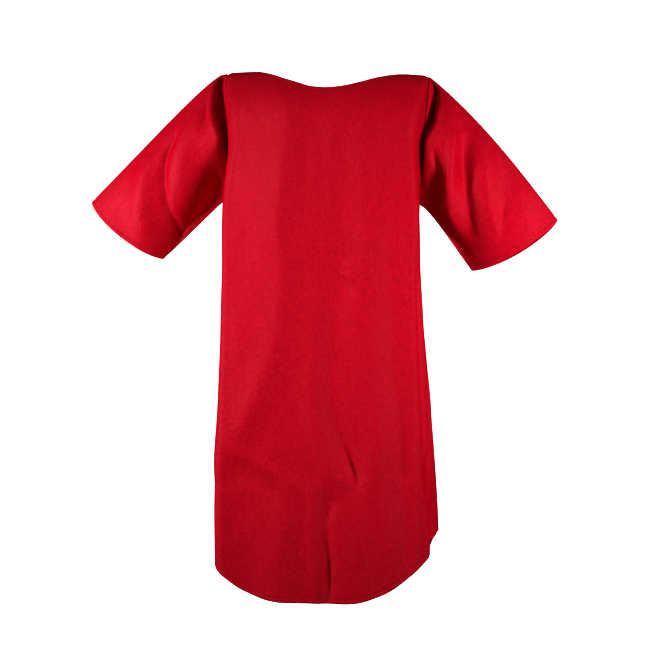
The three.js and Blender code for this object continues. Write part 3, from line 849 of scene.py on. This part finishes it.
# Top and under: x and z of the cuff's highest and lowest point. The rest is in shares of the length, or in
# millimetres where it is a height. Roll: over how much the sleeve comes out of the armhole to its full width.
# Gap: how much later that starts beside the sleeve head. Sunk: how far the cloth lies back there, over the
# gap's width. Crown and arch: how far the top and the underarm stand above a straight line, and where most.
SLEEVES = {
    "left": dict(
        side=-1, top=(-493, -255), under=(-341, -372), roll=0.05, gap=0.035, gap_width=0.018, sunk=18,
        crown=13, crown_at=0.2, arch=16, arch_at=0.1, folds=(LEFT_FRONT_FOLDS, LEFT_BACK_FOLDS)
    ),
    "right": dict(
        side=1, top=(458, -302), under=(290, -400), roll=0.045, gap=0.05, gap_width=0.017, sunk=27,
        crown=12, crown_at=0.42, arch=6, arch_at=0.25, folds=(RIGHT_FRONT_FOLDS, RIGHT_BACK_FOLDS)
    ),
}


def hump(along, highest):
    """Half a sine wave along the sleeve, of a power of along that puts its top at the given share."""
    return np.sin(math.pi * along ** (math.log(0.5) / math.log(highest)))


def swell(way, grows, fades):
    """Rises smoothly from 0 to 1 between two shares of the way and falls back between two others."""
    return smooth((way - grows[0]) / (grows[1] - grows[0])) * smooth((fades[1] - way) / (fades[1] - fades[0]))


def sleeve_surface(cut, around, along):
    """A point of a sleeve, in millimetres: a straight line from the armhole's edge to the cuff's, with a rise
    over the crown and under the arm. Forward and back it rolls out of the armhole to an oval, the sine of
    around to a power. Around runs from 0 at the top over the front to 1 at the armpit, and on over the back
    to 2 at the top again."""
    turn = np.mod(around, 2.0)
    in_front = turn <= 1
    down = np.where(in_front, turn, 2 - turn) * ARMPIT_DOWN
    edge_front = panel_surface(FRONT_CUT, cut["side"], down)
    edge_back = panel_surface(BACK_CUT, cut["side"], down)
    start = np.where(in_front[..., None], edge_front, edge_back)
    start_x = start[..., 0] + cut["side"] * SLEEVE_SET_OUT
    c = np.cos(math.pi * turn)
    n = np.sin(math.pi * turn)
    # the cuff's edge: an oval from its top to its underside, bowed outwards in the middle
    top = np.array(cut["top"], float)
    under = np.array(cut["under"], float)
    middle = (top + under) / 2
    up = (top - under) / 2
    reach = math.hypot(*up)
    out = np.array([-up[1], up[0]]) / reach
    out = out * np.sign(out[0]) * cut["side"]
    bow = CUFF_BOW * np.abs(n) ** 1.5
    end_x = middle[0] + up[0] * c + out[0] * bow
    end_z = middle[1] + up[1] * c + out[1] * bow
    # the rise over the crown and under the arm, which is nothing at the armhole's edge
    held = np.maximum(along, SEAM_SHARE)
    rise = cut["crown"] * hump(held, cut["crown_at"]) * np.maximum(c, 0)
    rise = rise + cut["arch"] * hump(held, cut["arch_at"]) * np.maximum(-c, 0)
    rise = rise * np.minimum(along / SEAM_SHARE, 1) / reach
    # how much of its width the sleeve has, and how far it lies back beside its head
    gap = cut["gap"] * swell(turn, GAP_GROWS, GAP_FADES)
    rolled = smooth((along - gap) / cut["roll"])
    sunk = cut["sunk"] * swell(turn, SUNK_GROWS, SUNK_FADES)
    sunk = sunk * np.exp(-(((along - 0.8 * gap) / cut["gap_width"]) ** 2))
    thick = ARM_HALF_THICK * (1 - along) + CUFF_HALF_THICK * along
    full = -thick * n * np.abs(n) ** (CUFF_FOLD * along + UNDER_CURL * np.maximum(-c, 0))
    x = start_x + (end_x - start_x) * along + up[0] * rise
    y = start[..., 1] * (1 - rolled) * (1 - along) + full * rolled + sunk
    z = start[..., 2] + (end_z - start[..., 2]) * along + up[1] * rise
    return np.stack([x, y, z], axis=-1)


def sleeve_place(cut, around, along, behind):
    """A point of the creased sleeve, behind its face by a distance: the surface's point, moved along the
    direction square to it, which is the cross product of its slopes around and along. The folds of the front
    and of the back fade at the top and the underside, and all of them next to the armhole seam."""
    step = 0.012
    along = np.clip(along, 0, 1)
    place = sleeve_surface(cut, around, along)
    d_around = sleeve_surface(cut, around + step, along) - sleeve_surface(cut, around - step, along)
    low = np.clip(along - step / 2, 0, 1)
    high = np.clip(along + step / 2, 0, 1)
    d_along = sleeve_surface(cut, around, high) - sleeve_surface(cut, around, low)
    square = unit(np.cross(d_around, d_along)) * cut["side"]
    out = place[..., 0] * cut["side"]
    down = -place[..., 2]
    forward = np.sin(math.pi * around)
    top_fade = 0.3  # of the sine of around
    seam_fade = 0.1  # of the length
    front_folds, back_folds = cut["folds"]
    lift = fold_height(front_folds, out, down) * smooth(forward / top_fade)
    lift = lift + fold_height(back_folds, out, down) * smooth(-forward / top_fade)
    # a sleeve hangs a little less unevenly than a panel, and the two not in the same places
    uneven = 0.8 * uneven_hang(out + 60 * around, down, 1 + cut["side"])
    lift = lift + uneven * np.abs(forward) ** 0.5
    lift = lift * smooth((along - SEAM_SHARE) / seam_fade)
    return place + square * (lift - behind)[..., None]


def cloth_beside(cut, around, end):
    """Millimetres of cloth for one unit of along next to an end of the sleeve, 0 or 1: the distance across
    the tenth of the surface that is nearest to that end, divided by a tenth."""
    tenth = 0.1
    inner = sleeve_surface(cut, around, abs(end - tenth))
    return np.linalg.norm(inner - sleeve_surface(cut, around, end), axis=-1) / tenth


def sleeve_grid(cut):
    """The whole sleeve as a grid of points: rows run from the armhole to the cuff, columns all the way round.
    Also each point's place in the weave, with one more column, where the cloth comes round to its start."""
    which, value, behind, run = (v[:, None] for v in grid_lines(SLEEVE_ROWS, SEAM_ALLOWANCE, HEM_DEPTH))
    once_round = np.linspace(0, 2, SLEEVE_COLUMNS + 1)
    around = once_round[None, :-1] + 0 * value
    outer = near_edge()[-1]
    at_arm = cloth_beside(cut, around, 0)
    at_cuff = cloth_beside(cut, around, 1)
    first = (EDGE_INSET + outer) / at_arm
    last = 1 - (EDGE_INSET + outer) / at_cuff
    along = np.where(
        which == 0,
        first + (last - first) * value,
        np.where(which < 0, (EDGE_INSET + value) / at_arm, 1 - (EDGE_INSET + value) / at_cuff),
    )
    groove = stitch_groove(np.where(which > 0, value, np.inf)) * (behind == 0)
    points = sleeve_place(cut, around, along, behind - groove)
    weave_along = along * SLEEVE_LENGTH + which * (run + value)
    weave_along = np.concatenate([weave_along, weave_along[:, :1]], axis=1)
    weave_around = once_round * SLEEVE_GIRTH_HALF + 0 * weave_along
    return points * MM, np.stack([weave_around, weave_along], axis=-1) * MM


def cuff_stitches(cut):
    """The line of a cuff's stitching in the groove of the cloth's face, once round the sleeve, and the
    directions away from the cloth."""
    groove = GROOVE_DEPTH - CLOTH / 2
    around = np.linspace(0, 2, 900)
    along = 1 - (EDGE_INSET + STITCH_LINE) / cloth_beside(cut, around, 1)
    bed, above = (sleeve_place(cut, around, along, 0 * around + behind) for behind in (groove, groove - 1))
    return [(bed, above - bed)]


for name, cut in SLEEVES.items():
    piece = cloth_mesh("set_in_sleeve_" + name, *sleeve_grid(cut), flip=cut["side"] > 0)
    piece.data.materials.append(red_wool)
    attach(piece, "root")
    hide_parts("sleeve_" + name)
    stitch_row("cuff_stitches_" + name, cuff_stitches(cut), red_thread)


# ---- studio ----
# A round pale floor below the hem, in a white room. A soft light at chest height on the left draws out the
# folds, and a weaker one on the right, a faint one in front and one behind fill in.
FLOOR_BELOW = 0.42
FLOOR_RADIUS = 2.4
FLOOR_SIDES = 128

floor_z = cad_low[2] - FLOOR_BELOW
angle = np.linspace(0, 2 * math.pi, FLOOR_SIDES, endpoint=False)
rim = np.stack([FLOOR_RADIUS * np.cos(angle), FLOOR_RADIUS * np.sin(angle), 0 * angle + floor_z], axis=-1)
floor = smooth_mesh("studio_floor", rim, [list(range(FLOOR_SIDES))])
pale = bpy.data.materials.new("pale studio paint")
pale.use_nodes = True
# seen from below the floor is clear, so it hides nothing
geometry = pale.node_tree.nodes.new("ShaderNodeNewGeometry")
upper = pale.node_tree.nodes.new("ShaderNodeMath")
upper.operation = "SUBTRACT"
wire(upper, {0: 1.0, 1: geometry.outputs["Backfacing"]})
wire(pale.node_tree.nodes["Principled BSDF"], {
    "Base Color": (0.86, 0.86, 0.86, 1.0),
    "Roughness": 0.9,
    "Specular IOR Level": 0.1,
    "Emission Color": (1.0, 1.0, 1.0, 1.0),
    "Emission Strength": 0.9,
    "Alpha": upper.outputs["Value"],
})
floor.data.materials.append(pale)
# and it throws no light of its own on the cloth
floor.visible_diffuse = False
floor.visible_glossy = False
floor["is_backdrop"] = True


def soft_light(name, place, aim, size, watts, beam, mirrored=True):
    """A rectangular area light of a width and height at a place, turned to face a point, its beam so many
    degrees wide. Mirrored tells whether it shows in the gloss of the cloth."""
    data = bpy.data.lights.new(name, "AREA")
    data.shape = "RECTANGLE"
    data.size, data.size_y = size
    data.energy = watts
    data.spread = math.radians(beam)
    light = bpy.data.objects.new(name, data)
    light.location = place
    light.rotation_mode = "QUATERNION"
    light.rotation_quaternion = (Vector(aim) - Vector(place)).to_track_quat("-Z", "Y")
    light.visible_camera = False
    light.visible_glossy = mirrored
    bpy.context.scene.collection.objects.link(light)


soft_light("left softbox", (-1.75, -1.0, -0.17), (-0.1, 0.0, -0.44), (0.45, 0.45), watts=6.2, beam=80)
soft_light("right softbox", (1.62, -1.15, -0.25), (0.34, 0.0, -0.41), (0.45, 0.45), watts=3.7, beam=65)
soft_light("front fill", (-0.4, -2.6, -0.2), (0.0, 0.0, -0.4), (1.2, 1.0), watts=0.3, beam=60)
soft_light("back light", (-1.9, 2.2, 0.1), (0.0, 0.0, -0.4), (0.8, 0.8), watts=12.0, beam=70, mirrored=False)

# the room is white to look at and lights the tunic only weakly
room = bpy.data.worlds.new("white room")
bpy.context.scene.world = room
room.use_nodes = True
nodes = room.node_tree.nodes
seen = nodes.new("ShaderNodeLightPath").outputs["Is Camera Ray"]
strength = wire(nodes.new("ShaderNodeMapRange"), {"Value": seen, "To Min": 0.12, "To Max": 1.6})
wire(nodes["Background"], {"Color": (1.0, 1.0, 1.0, 1.0), "Strength": strength.outputs["Result"]})
bpy.context.scene.view_settings.view_transform = "Standard"
bpy.context.scene.view_settings.look = "High Contrast"
